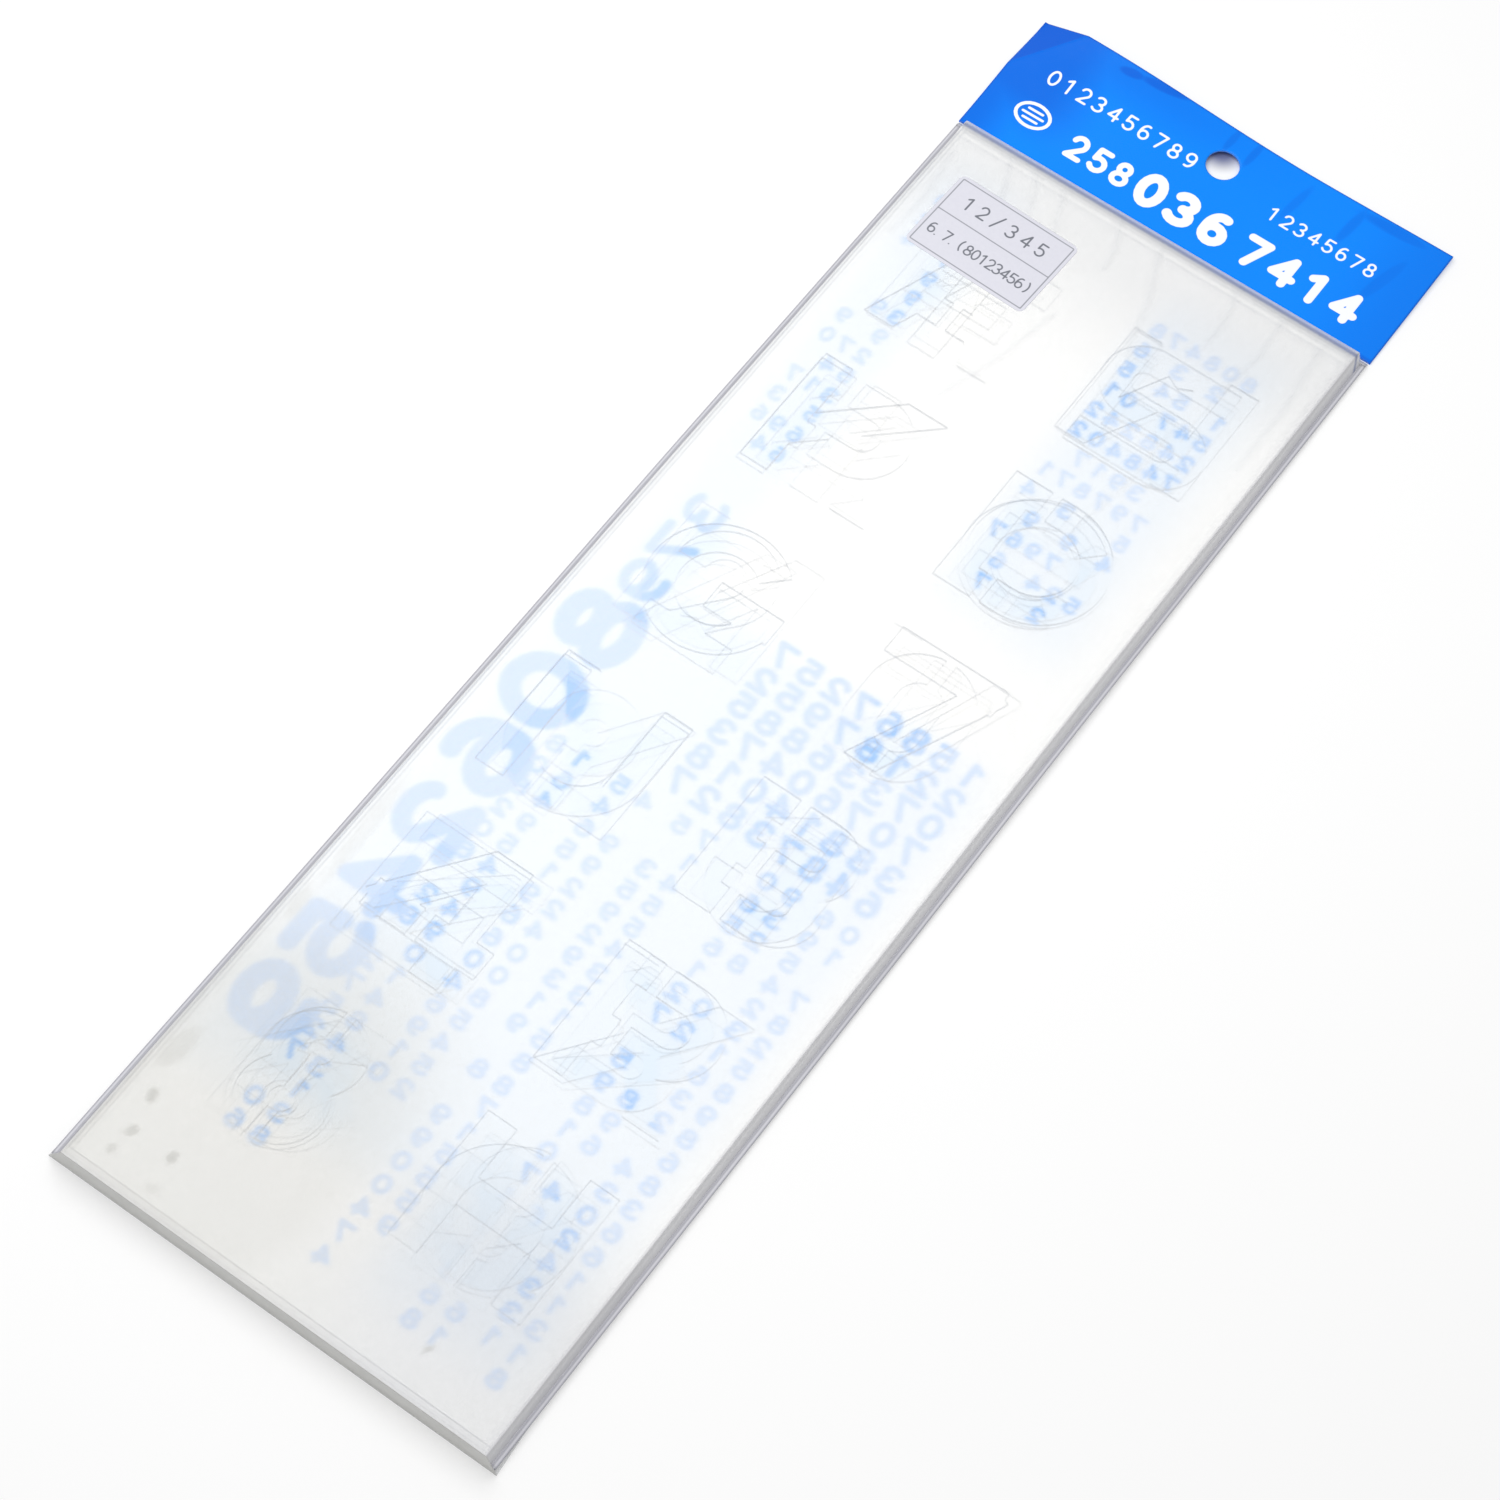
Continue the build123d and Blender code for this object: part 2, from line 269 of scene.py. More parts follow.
print("helpers ready")

# places taken from the frame, in millimetres

def span(node):
    low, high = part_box(node)
    return np.array(low) / mm, np.array(high) / mm


filmHigh = span("front_film")[1]
plateLow, plateHigh = span("stencil_plate_1")
headerLow, headerHigh = span("header_front")
lipLow, lipHigh = span("mouth_lip")
labelLow, labelHigh = span("label")

bag = {
    "topZ": filmHigh[2],
    "rimZ": 1.25,              # how high the side seams stand off the table
    "headRimZ": 0.9,
    "leftEdge": plateLow[0] - 0.35,
    "rightEdge": plateHigh[0] + 0.35,
    "rimX": filmHigh[0],
    "mouthY": lipLow[1] + 0.05,
    "shoulderY": plateHigh[1] + 1.2,
    "footY": filmHigh[1],
    "creaseY": headerLow[1] - 0.52,
    "softness": 0.35,          # how widely its shoulders are rounded
    "dip": 0.045,              # depth of the creases below the header
    "wave": 0.03,              # depth of the shallow waves elsewhere
}


# the clear film over the stack

def rimLevel(y):
    return bag["rimZ"] + 0.25 * np.sin(y / 31.0 + 0.6) + 0.06 * np.sin(y / 13.0)


def filmHeight(x, y):
    # level over the stack, sloping to the rim at the sides and the head, with rounded shoulders
    rim = rimLevel(y)
    rise = bag["topZ"] - rim
    left = rim + rise * (x + bag["rimX"]) / (bag["leftEdge"] + bag["rimX"])
    right = rim + rise * (bag["rimX"] - x) / (bag["rimX"] - bag["rightEdge"])
    headRise = bag["topZ"] - bag["headRimZ"]
    head = bag["headRimZ"] + headRise * (bag["footY"] - y) / (bag["footY"] - bag["shoulderY"])
    lowest = np.minimum(np.minimum(left, right), head)
    soft = bag["softness"]
    level = bag["topZ"] - soft * np.log1p(np.exp(np.clip((bag["topZ"] - lowest) / soft, -40, 40)))
    return np.maximum(level, np.minimum(rim, bag["headRimZ"]))


def spread(low, high, edges, inner, fine):
    # a row of places with fine steps near both ends and coarser ones between
    first = np.linspace(low, low + edges, fine, endpoint=False)
    middle = np.linspace(low + edges, high - edges, inner, endpoint=False)
    return np.concatenate([first, middle, np.linspace(high - edges, high, fine)])


def spot(x, y, cx, cy, rx, ry, turn=0.0):
    # 1 in the middle of an oval, falling softly to 0 at its outline
    a = math.radians(turn)
    u = ((x - cx) * math.cos(a) + (y - cy) * math.sin(a)) / rx
    v = (-(x - cx) * math.sin(a) + (y - cy) * math.cos(a)) / ry
    return smooth(-np.hypot(u, v), -1.0, -0.45)


def filmDull(x, y):
    # where the film looks greyer: the film's own grey toward the head; painted shade toward the mouth, over the far
    # corner and over a second wide patch by the mouth; and a few spots that cling to the plate
    head = plateHigh[1]
    mouth = plateLow[1]
    dullAndShade = 0.6 * smooth(y, head - 46, head - 8)
    dullAndShade = np.maximum(dullAndShade, 0.9 * spot(x, y, -30, mouth + 22, 52, 66))
    dullAndShade = np.maximum(dullAndShade, 0.75 * spot(x, y, 26, mouth + 4, 70, 56))
    dullAndShade = np.maximum(dullAndShade, 0.62 * smooth(-y, -mouth - 46, -mouth - 8))
    marks = 0 * x
    for cx, cy, rx, ry, turn, depth in ((-43.2, 17.3, 1.5, 2.4, 20, 0.95), (-41.6, 9.5, 1.5, 2.0, -30, 0.85),
                                        (-32.0, 9.6, 1.4, 1.9, 10, 0.95), (-42.3, 4.4, 1.2, 1.6, 0, 0.7),
                                        (-45.6, 28.0, 3.2, 7.5, -8, 0.5), (-46.2, 87.0, 2.6, 20.0, 2, 0.55),
                                        (-46.6, 66.0, 2.2, 6.0, 5, 0.5), (30.0, 8.1, 0.9, 1.7, -30, 0.9),
                                        (-31.0, 2.5, 1.8, 1.5, 15, 0.4)):
        marks = np.maximum(marks, depth * spot(x, y, cx, mouth + cy, rx, ry, turn))
    return dullAndShade, marks


def filmStreaks(xs, ys):
    # soft pleats that fan out from the header, and a few long folds lower down; along them the film gets relief and a
    # painted grey shade
    field = np.zeros((len(ys), len(xs)))
    head = plateHigh[1]
    for x0, y0, x1, y1, width in ((-36, -2, -30, -20, 1.6), (-30, -1, -25, -12, 1.2), (-22, -2, -15, -24, 1.4),
                                  (-8, -1, -4, -14, 1.2), (3, -2, 12, -30, 1.8), (22, -1, 24, -18, 1.2),
                                  (34, -2, 33, -26, 1.6), (44, -3, 46, -40, 1.4), (-47, -8, -46, -34, 1.3),
                                  (-6, -30, -14, -62, 1.6), (30, -40, 27, -74, 1.4)):
        middle = ((x0 + x1) / 2 + 1.0, head + (y0 + y1) / 2)
        drawStroke(field, xs, ys, [(x0, head + y0), middle, (x1, head + y1)], width * 0.3, 2.6)
    return field


def makeFilm():
    xs = spread(-bag["rimX"], bag["rimX"], 4.0, 140, 22)
    ys = spread(bag["mouthY"], bag["footY"], 4.0, 420, 20)
    x, y = np.meshgrid(xs, ys)
    z = filmHeight(x, y)
    # creases fan out below the header, and the film lies in shallow waves elsewhere
    shoulder, left, right = bag["shoulderY"], bag["leftEdge"], bag["rightEdge"]
    near = smooth(y, shoulder - 34, shoulder - 3) * smooth(-y, 0.5 - shoulder, 6 - shoulder)
    inside = smooth(x, left + 1, left + 7) * smooth(-x, 1 - right, 7 - right)
    fan = np.sin((x + 0.35 * (y - shoulder)) / 2.3 + 0.8 * np.sin(x / 9.0))
    waves = 0.5 + 0.5 * np.sin(x / 13.0 + 1.3 * np.sin(y / 37.0)) * np.sin(y / 23.0 + x / 60.0)
    # it only dips where it clears the plate below
    z = z - bag["dip"] * near * inside * (0.5 - 0.5 * fan) - bag["wave"] * waves * inside
    dullAndShade, marks = filmDull(x, y)
    head, mouth = plateHigh[1], bag["mouthY"]
    # the sides and the mouth's edge are painted greyer, each in a wide soft band and a narrow one: painted shade
    # where the film slopes down and gets less light than the top
    side = np.maximum.reduce([0.3 * smooth(-x, -left - 1.6, -left + 0.2), 0.55 * smooth(-x, -left - 0.5, -left + 0.3),
                              0.3 * smooth(x, right - 3.0, right - 0.6), smooth(x, right - 0.8, right - 0.1),
                              0.3 * smooth(-y, -mouth - 2.6, -mouth - 0.6), 0.8 * smooth(-y, -mouth - 0.7, -mouth)])
    return gridMesh("film_front", x, y, z, {
        "dullAndShade": dullAndShade, "marks": marks, "side": side, "pleatShade": filmStreaks(xs, ys),
        "warm": smooth(-x, -30, 8) * smooth(-y, 0, 60),
        # painted shade: a thin dark line at the head's shoulder, for the gap between the plates' end and the film
        "gapShade": smooth(y, head - 0.9, head - 0.2) * smooth(-y, -head - 0.9, -head - 0.1)})


filmLook = {"plain": (0.9, 0.9, 0.895), "cool": (0.48, 0.49, 0.52), "warm": (0.53, 0.52, 0.48),
            "mark": (0.36, 0.36, 0.33), "pleatShade": (0.4, 0.42, 0.47), "side": (0.6, 0.6, 0.62),
            "gapShade": (0.12, 0.16, 0.32), "veil": 0.3, "roughness": 0.3, "specular": 0.6, "crumple": 0.35,
            "hidden": (0.85, 0.86, 0.88)}


def crumpled(finish):
    coarse = finish.noise(9.0, 4.0, 0.6, (1.6, 0.5, 1), 24)
    return coarse + finish.noise(2.2, 3.0, 0.6, (1.0, 0.4, 1), -14) * 0.25


def frontFilmMaterial():
    finish = Finish("clear film")
    dullAndShade, marks, pleatShade, side, gapShade, warm = (
        finish.attribute(name) for name in ("dullAndShade", "marks", "pleatShade", "side", "gapShade", "warm"))
    # greyer film, warmer toward the lower left: the film's own grey at the head, painted shade toward the mouth
    tint = finish.blend(dullAndShade, filmLook["plain"], finish.blend(warm, filmLook["cool"], filmLook["warm"]))
    # over it: spots where the film clings to the plate, painted shade along the pleats, painted shade at the sides
    # and the mouth's edge, and a painted dark line at the head's shoulder
    for share, tone in ((marks * 0.6, "mark"), (pleatShade * 0.4, "pleatShade"), (side, "side"), (gapShade * 0.8, "gapShade")):
        tint = finish.blend(share, tint, filmLook[tone])
    alpha = filmLook["veil"] + dullAndShade * 0.25 + marks * 0.3 + pleatShade * 0.15 + side * 0.6 + gapShade * 0.35
    return finish.done(finish.surface(
        color=tint, roughness=filmLook["roughness"], specular=filmLook["specular"], alpha=alpha,
        normal=finish.bump(crumpled(finish) + pleatShade * 0.7, filmLook["crumple"])))


def clearFilm(name, veil):
    finish = Finish(name)
    return finish.done(finish.surface(
        color=filmLook["hidden"], roughness=filmLook["roughness"], specular=filmLook["specular"], alpha=veil,
        normal=finish.bump(crumpled(finish), filmLook["crumple"])))


unblocked(settle(makeFilm(), "bag", frontFilmMaterial(), ["front_film"]))
print("film laid over the stack")


# side and head seams

seamLook = {"width": 1.2, "thickness": 0.2, "drop": 0.12, "droop": 0.2, "headBead": 0.35, "creaseZ": 0.16,
            "flat": (0.44, 0.44, 0.49), "bead": (0.68, 0.68, 0.73), "roughness": 0.3, "alpha": 0.75}


def makeSeam(name, side):
    ys = np.linspace(lipLow[1] + 0.4, bag["footY"], 330)
    across = np.linspace(0, 1, 7)
    s, y = np.meshgrid(across, ys)
    x = side * (bag["rimX"] + s * seamLook["width"])
    # it starts just below the rim and droops towards its outer edge, with a slow ripple
    z = rimLevel(y) - seamLook["drop"] - seamLook["droop"] * s + 0.06 * s * np.sin(y / 17.0 + side)
    bead = smooth(s, 0.35, 0.55) * smooth(-s, -0.85, -0.65)
    piece = gridMesh(name, x, y, z, {"bead": bead}, flip=side < 0)
    return thicken(piece, seamLook["thickness"], 0)


def seamMaterial():
    finish = Finish("melted seam")
    bead = finish.attribute("bead")
    grain = finish.noise(6.0, 2.0, 0.5, (1, 0.3, 1))
    tint = finish.blend(bead, seamLook["flat"], seamLook["bead"])
    alpha = seamLook["alpha"] + grain * 0.15
    return finish.done(finish.surface(color=tint, roughness=seamLook["roughness"], alpha=alpha))


seamFinish = seamMaterial()
for sideName, side in (("left", -1), ("right", 1)):
    settle(makeSeam(f"seam_{sideName}", side), "bag", seamFinish, [f"{sideName}_seam"])


def makeHeadSeam():
    reach = bag["rimX"] + seamLook["width"]
    xs = np.linspace(-reach, reach, 160)
    ys = np.linspace(bag["footY"], bag["creaseY"], 5)
    x, y = np.meshgrid(xs, ys)
    # it falls to the level of the header's crease
    t = (y - bag["footY"]) / (bag["creaseY"] - bag["footY"])
    z = bag["headRimZ"] + (seamLook["creaseZ"] - bag["headRimZ"]) * t + 0.05 * (1 - t) * np.sin(x / 4.0)
    piece = gridMesh("seam_head", x, y, z, {"bead": seamLook["headBead"] + 0 * x})
    return thicken(piece, seamLook["thickness"], 0)


settle(makeHeadSeam(), "bag", seamFinish, ["head_seam"])
print("seams done")


# the stencil plates

plateLook = {"face": 0.11, "wall": 0.5, "fade": 0.84, "color": (0.9, 0.9, 0.893), "shade": (0.87, 0.88, 0.9),
             "wallShade": (0.38, 0.41, 0.46), "roughness": 0.42, "specular": 0.2}


def plateMaterial(index):
    finish = Finish(f"milky plastic {index}")
    normal = finish.node("ShaderNodeTexCoord", give="Normal")
    facing = finish.node("ShaderNodeSeparateXYZ", {}, [normal], give="Z")
    wall = finish.ramp(abs(facing), 0.85, 0.3)
    cloud = finish.noise(34.0 + 3 * index, 2.0, 0.5)
    plain = finish.blend(cloud, plateLook["color"], plateLook["shade"])
    # painted shade: walls of the plates and their windows are given a darker grey, as steep faces that get less light
    # than the top
    tint = finish.blend(wall, plain, plateLook["wallShade"])
    # the sheet's milkiness counts once, where a ray goes in
    entering = 1 - finish.node("ShaderNodeNewGeometry", give="Backfacing")
    deeper = plateLook["wall"] * plateLook["fade"] ** (index - 1)
    alpha = entering * plateLook["face"] * (1 - wall) + wall * deeper
    return finish.done(finish.surface(
        color=tint, roughness=plateLook["roughness"], alpha=alpha, specular=plateLook["specular"]))


for index in range(1, 9):
    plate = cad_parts[f"stencil_plate_{index}"]
    dress(plate, plateMaterial(index))
    unblocked(plate)
print("plates finished")


# the printed back film

# shiftX and shiftY lead from the places read on the top plate down to the back film
printLook = {"color": (0.0, 0.36, 0.95), "paper": (0.97, 0.965, 0.94), "haze": (0.25, 0.6, 0.98), "soft": 1.0,
             "shiftX": -1.4, "shiftY": -165.7, "bareX": 24.0, "bareY": -134.7,
             "thickness": 0.1, "roughness": 0.3, "alpha": 0.95, "specular": 0.2}


def backPrint(xs, ys):
    # single figures seen from behind, in rows and blocks, and a few large ones down the left side
    field = np.zeros((len(ys), len(xs)))

    def write(figure, x, y, height, width, wide, soft=printLook["soft"], turn=0.0):
        drawFigures(field, xs, ys, figure, x + printLook["shiftX"], y + printLook["shiftY"], height, width, soft,
                    turn=turn, mirror=True, wide=wide)

    for pair in ((-28, -22), (-12, -6), (3, 9), (24, 30), (38, 44)):
        for row in range(20):
            yRow = 10 + row * 6.0
            if pair[0] in (-28, -12) and yRow < 20 + 22 * (pair[0] == -12):
                continue
            for x in pair:
                if seed.random() < 0.08:
                    continue
                write(str(seed.integers(0, 10)), x + 1.2, yRow - 1.9, 4.0, 1.05, 1.45)
    for yRow in np.arange(129, 166, 7.2):
        for x in np.arange(-3, 46, 6.6):
            write(str(seed.integers(0, 10)), x + 1.6, yRow, 5.8, 1.5, 1.3)
    for x0, x1, y0, y1 in ((-42, -30, 205, 286), (14, 38, 205, 284)):
        for yRow in np.arange(y0, y1, 6.2):
            for x in np.arange(x0, x1, 4.6):
                if seed.random() < 0.25:
                    continue
                write(str(seed.integers(0, 10)), x + 1.2, yRow, 3.8, 1.0, 1.25)
    place = 190.0
    for figure, size, weight in (("3", 8.5, 2.0), ("7", 9.5, 2.2), ("9", 10, 2.4), ("8", 17, 4.8), ("0", 17, 4.8),
                                 ("6", 17, 4.8), ("2", 15, 4.2), ("4", 15, 4.0), ("5", 15, 4.2), ("9", 16, 4.6)):
        write(figure, -29.5 - (17 - size) * 0.35, place, size, weight, 1.6, printLook["soft"] * 1.1, 90)
        place -= size * 1.1
    # a patch near the mouth stays bare
    x, y = np.meshgrid(xs, ys)
    return field * (1 - spot(x, y, printLook["bareX"], printLook["bareY"], 13, 17))


def printHaze(x, y):
    # where the rows tint the sheets above them, soft at the edges
    haze = 0 * x
    for x0, x1, y0, y1 in ((-47, 46, 30, 168), (12, 46, 12, 40), (-46, -28, 160, 290), (12, 42, 200, 288)):
        across = smooth(x, x0 - 7, x0 + 5) * smooth(-x, -x1 - 7, -x1 + 5)
        haze = np.maximum(haze, across * smooth(y, y0 - 10, y0 + 8) * smooth(-y, -y1 - 10, -y1 + 8))
    return haze


def makeBackFilm():
    xs = np.arange(-bag["rimX"], bag["rimX"] + 0.01, 2 * bag["rimX"] / 168)
    ys = np.linspace(lipLow[1] + 0.3, bag["footY"], 500)
    x, y = np.meshgrid(xs, ys)
    # level under the stack, rising to the seams at the sides and the head
    z = 0.22 + (rimLevel(y) - 0.55) * smooth(np.abs(x), 50.2, bag["rimX"])
    z = z + (bag["headRimZ"] - 0.4) * smooth(y, plateHigh[1] + 0.5, bag["footY"])
    haze = printHaze(x - printLook["shiftX"], y - printLook["shiftY"])
    fields = {"ink": backPrint(xs, ys), "haze": haze}
    return thicken(gridMesh("film_back", x, y, z, fields), printLook["thickness"], 1)


def backMaterial():
    finish = Finish("printed film")
    plain = finish.blend(finish.attribute("haze") * 0.4, printLook["paper"], printLook["haze"])
    tint = finish.blend(finish.attribute("ink"), plain, printLook["color"])
    return finish.done(finish.surface(
        color=tint, roughness=printLook["roughness"], alpha=printLook["alpha"], specular=printLook["specular"],
        normal=finish.bump(finish.noise(3.0, 2.0, 0.5), 0.03)))


settle(makeBackFilm(), "bag", backMaterial(), ["back_film"])
print("back film printed")


# the mouth: its end wall, its flap and the tape

mouthLook = {"foldZ": 0.12, "sag": 0.16, "lipThickness": 0.06, "flapThickness": 0.05, "flapTaper": 2.0,
             "lipDark": (0.56, 0.56, 0.54), "lipPale": (0.68, 0.68, 0.66), "lipAlpha": 0.85, "flapVeil": 0.3,
             "tapePale": (0.88, 0.9, 0.92), "tapeDark": (0.78, 0.8, 0.83), "tapeAlpha": 0.5, "roughness": 0.35}


def makeLip():
    t, s = np.meshgrid(np.linspace(0, 1, 16), np.linspace(0, 1, 220))
    # s runs across the bag, t from the fold on the table up to the front film
    earX = lipHigh[0]
    leftX = -earX + (bag["leftEdge"] + earX) * t
    rightX = earX - (earX - bag["rightEdge"]) * t
    x = leftX + (rightX - leftX) * s
    # a slow wave along the mouth pulls it outwards here and there
    sag = mouthLook["sag"] * np.sin(x / 17.0 + 1.0) * np.sin(np.pi * t)
    y = bag["mouthY"] + 0.25 * np.minimum(sag, 0)
    z = mouthLook["foldZ"] + (bag["topZ"] - mouthLook["foldZ"]) * t
    return thicken(gridMesh("film_lip", x, y, z, flip=True), mouthLook["lipThickness"], -1)


def lipMaterial():
    finish = Finish("folded film")
    crumple = finish.noise(5.0, 3.0, 0.6, (0.4, 1, 1))
    # painted shade: the fold at the mouth's end is given a darker grey than the film on top, as a steep face that
    # gets less light than the top; the crumple varies it at random
    tint = finish.blend(crumple, mouthLook["lipDark"], mouthLook["lipPale"])
    return finish.done(finish.surface(color=tint, roughness=mouthLook["roughness"], alpha=mouthLook["lipAlpha"],
                                      normal=finish.bump(crumple, 0.3)))


settle(makeLip(), "lip", lipMaterial(), ["mouth_lip"])


def makeFlap():
    low, high = span("closing_flap")
    s, t = np.meshgrid(np.linspace(-1, 1, 120), np.linspace(0, 1, 40))
    x = (high[0] - mouthLook["flapTaper"] * t) * s
    y = low[1] + (high[1] - low[1]) * t
    # it narrows inwards and lies in waves 0.03 high
    z = 0.02 + 0.03 * (0.5 + 0.5 * np.sin(x / 9.0 + 3 * t))
    return thicken(gridMesh("film_flap", x, y, z), mouthLook["flapThickness"], 1)


settle(makeFlap(), "flap", clearFilm("flap film", mouthLook["flapVeil"]), ["closing_flap"])


def tapeMaterial():
    finish = Finish("clear tape")
    grain = finish.noise(1.4, 3.0, 0.6)
    tint = finish.blend(grain, mouthLook["tapePale"], mouthLook["tapeDark"])
    return finish.done(finish.surface(color=tint, roughness=mouthLook["roughness"], alpha=mouthLook["tapeAlpha"],
                                      normal=finish.bump(grain, 0.03)))


dress(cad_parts["flap_tape"], tapeMaterial())
print("mouth closed")


# the header

header = {
    "color": (0.0, 0.235, 0.97),
    "bright": (0.0, 0.25, 1.0),
    "fold": (0.0, 0.09, 0.62),
    "edge": (0.0, 0.09, 0.55),
    "mark": (0.93, 0.95, 0.98),
    "roughness": 0.24,
    "specular": 0.2,
    "sheet": 0.15,
    "film": 0.1,
    "filmLift": 0.02,
    "filmInset": 0.3,
    "filmVeil": 0.4,
    "rearLift": -0.1,
    "fineStep": 0.26,
    "coarseStep": 0.9,
    "cornerFall": 0.43,        # slope of the corner that is folded down
    "lowest": 0.27,            # keeps the back of the header above the table
    "low": headerLow[1] - 0.15,
    "high": headerHigh[1] - 0.5,
    "bulge": 3.2,              # how high the kink in the top edge stands
    "kinkX": -42.0,
    "creaseDrop": 15.5,        # how far down the end the corner's crease runs
    "holeX": 0.0,
    "holeInset": 9.75,
    "holeRadius": 3.75,
}


def beyondCrease(x, y):
    # how far a place lies past the crease that cuts off the header's corner, in millimetres
    runX = headerLow[0] - header["kinkX"]
    runY = -header["creaseDrop"]
    return ((x - header["kinkX"]) * runY - (y - header["high"]) * runX) / math.hypot(runX, runY)


def headerHeight(x, y):
    # a shallow swell under the kink in the top edge, falling away to the right, with one corner folded down
    v = (y - header["low"]) / (header["high"] - header["low"])
    across = np.cos(np.clip((x - header["kinkX"]) / 62.0, 0, 1) * np.pi / 2) ** 2
    swell = 0.3 + 0.35 * v + 0.35 * smooth(x, 20, 53) * v + header["bulge"] * across * v ** 1.7
    swell = swell + 0.2 * np.sin(np.pi * np.clip(v, 0, 1)) ** 2 * np.cos(x / 17.0 + 1.4)
    fall = header["cornerFall"] * np.maximum(beyondCrease(x, y), 0)
    return np.maximum(swell - fall, header["lowest"])


def headerGrid(step):
    xs = np.linspace(headerLow[0], headerHigh[0], int((headerHigh[0] - headerLow[0]) / step) + 1)
    ys = np.linspace(header["low"], header["high"], int((header["high"] - header["low"]) / step) + 1)
    return xs, ys


def cutHole(name, x, y, z, fields):
    # points inside the hole are left out, and those beside them move onto its edge
    cx, cy = header["holeX"], header["high"] - header["holeInset"]
    radius = np.hypot(x - cx, y - cy)
    inside = radius < header["holeRadius"]
    rows, columns = inside.shape
    wider = np.pad(inside, 1)
    beside = np.zeros_like(inside)
    for down in range(3):
        for along in range(3):
            beside |= wider[down:down + rows, along:along + columns]
    scale = np.where(beside & ~inside, header["holeRadius"] / np.maximum(radius, 1e-6), 1.0)
    return gridMesh(name, cx + (x - cx) * scale, cy + (y - cy) * scale, z, fields, leftOut=inside)


def headerMarks(xs, ys):
    # plain figures in white, a small line above and a large line below, beside an oval with three bars
    field = np.zeros((len(ys), len(xs)))
    foot = header["low"] - 0.35
    soft = 0.6
    # text, start along the header, start above its foot, height, stroke width, step, width of a figure
    for text, x, up, height, width, step, wide in (("0123456789", -43.5, 19.4, 4.3, 0.55, 0.88, 1.05),
                                                   ("12345678", 14.5, 19.0, 3.9, 0.5, 0.86, 1.05),
                                                   ("258", -30.0, 6.4, 6.4, 1.3, 0.86, 1.05),
                                                   ("036", -11.8, 5.6, 8.5, 2.3, 0.86, 1.14),
                                                   ("7414", 15.0, 5.7, 8.1, 1.95, 0.86, 1.12)):
        drawFigures(field, xs, ys, text, x, foot + up, height, width, soft, step=step, wide=wide)
    ovalX = -40.7
    drawStroke(field, xs, ys, bend(ovalX, foot + 10.9, 4.1, 3.0, 0, 360, 24), 0.8, soft)
    for lift, half in ((9.6, 1.8), (10.9, 2.6), (12.2, 1.8)):
        drawStroke(field, xs, ys, [(ovalX - half, foot + lift), (ovalX + half, foot + lift)], 0.6, soft)
    return field


def headerShade(x, y):
    # painted shade: darker blue beyond the crease, along the foot, at the far end and in a few soft folds
    low, high = header["low"], header["high"]
    shade = np.maximum.reduce([
        0.85 * smooth(beyondCrease(x, y), -0.5, 0.6),
        0.62 * smooth(-x, 26, 42) * smooth(y, low + 2, low + 16),
        0.55 * smooth(-x, 40, 52),
        0.35 * smooth(-x, -30, 40) * smooth(y, high - 14, high - 2),
        0.6 * smooth(-y, -low - 1.5, -low - 0.7),
        0.3 * smooth(x, 30, 53)])
    for cx, up, rx, ry, turn, depth in ((-29.0, 32.0, 4.5, 1.7, 8, 0.7), (-21.0, 33.2, 8.5, 1.8, 8, 0.7),
                                        (-1.9, 31.3, 1.3, 5.0, -4, 0.4), (3.9, 31.0, 1.3, 5.5, -4, 0.4),
                                        (18.0, 26.0, 1.4, 8.0, -8, 0.25), (31.0, 28.0, 1.6, 8.0, -6, 0.3),
                                        (44.0, 20.0, 2.2, 12.0, -14, 0.35), (40.0, 32.5, 12.0, 2.0, 1, 0.4)):
        shade = np.maximum(shade, depth * spot(x, y, cx, low + up, rx, ry, turn))
    return shade


def makeHeaderFront():
    xs, ys = headerGrid(header["fineStep"])
    x, y = np.meshgrid(xs, ys)
    rimFade = np.minimum.reduce([x - xs[0], xs[-1] - x, y - ys[0], ys[-1] - y])
    fields = {"mark": headerMarks(xs, ys), "edge": smooth(-rimFade, -0.5, -0.05), "shade": headerShade(x, y)}
    return thicken(cutHole("header_face", x, y, headerHeight(x, y) + header["sheet"], fields), header["sheet"], -1)


def makeHeaderLayer(name, lift, thickness, inset=0.0):
    # follows the front sheet, which hides it from above
    xs, ys = headerGrid(header["coarseStep"])
    xs = np.clip(xs, xs[0] + inset, xs[-1] - inset)
    x, y = np.meshgrid(xs, ys)
    piece = cutHole(name, x, y, headerHeight(x, y) + lift, {"mark": 0 * x, "edge": 0 * x, "shade": 0 * x})
    return thicken(piece, thickness, -1)


def headerMaterial(name, marked):
    finish = Finish(name)
    ripple = finish.noise(7.0, 3.0, 0.5, (1.0, 0.6, 1), 12)
    blue = finish.blend(finish.noise(26.0, 2.0, 0.5), header["color"], header["bright"])
    # painted shade in a darker blue
    blue = finish.blend(finish.attribute("shade"), blue, header["fold"])
    blue = finish.blend(finish.attribute("edge") * 0.7, blue, header["edge"])
    tint = finish.blend(finish.ramp(finish.attribute("mark"), 0.38, 0.62), blue, header["mark"]) if marked else blue
    return finish.done(finish.surface(color=tint, roughness=header["roughness"], specular=header["specular"],
                                      normal=finish.bump(ripple, 0.12)))


settle(makeHeaderFront(), "header", headerMaterial("blue header", True), ["header_front"])
settle(makeHeaderLayer("header_film", header["filmLift"], header["film"], header["filmInset"]), "header",
       clearFilm("header film", header["filmVeil"]), ["header_core"])
settle(makeHeaderLayer("header_rear", header["rearLift"], header["sheet"]), "header",
       headerMaterial("blue header back", False), ["header_back"])
print("header bent and marked")


# the label

labelLook = {"turn": -2.0, "width": 31.0, "height": 21.5, "corner": 1.5, "inset": 0.9, "line": 0.22,
             "thickness": 0.09, "paper": (0.65, 0.65, 0.72), "pale": (0.71, 0.71, 0.78), "ink": (0.16, 0.17, 0.2),
             "roughness": 0.5, "specular": 0.4}


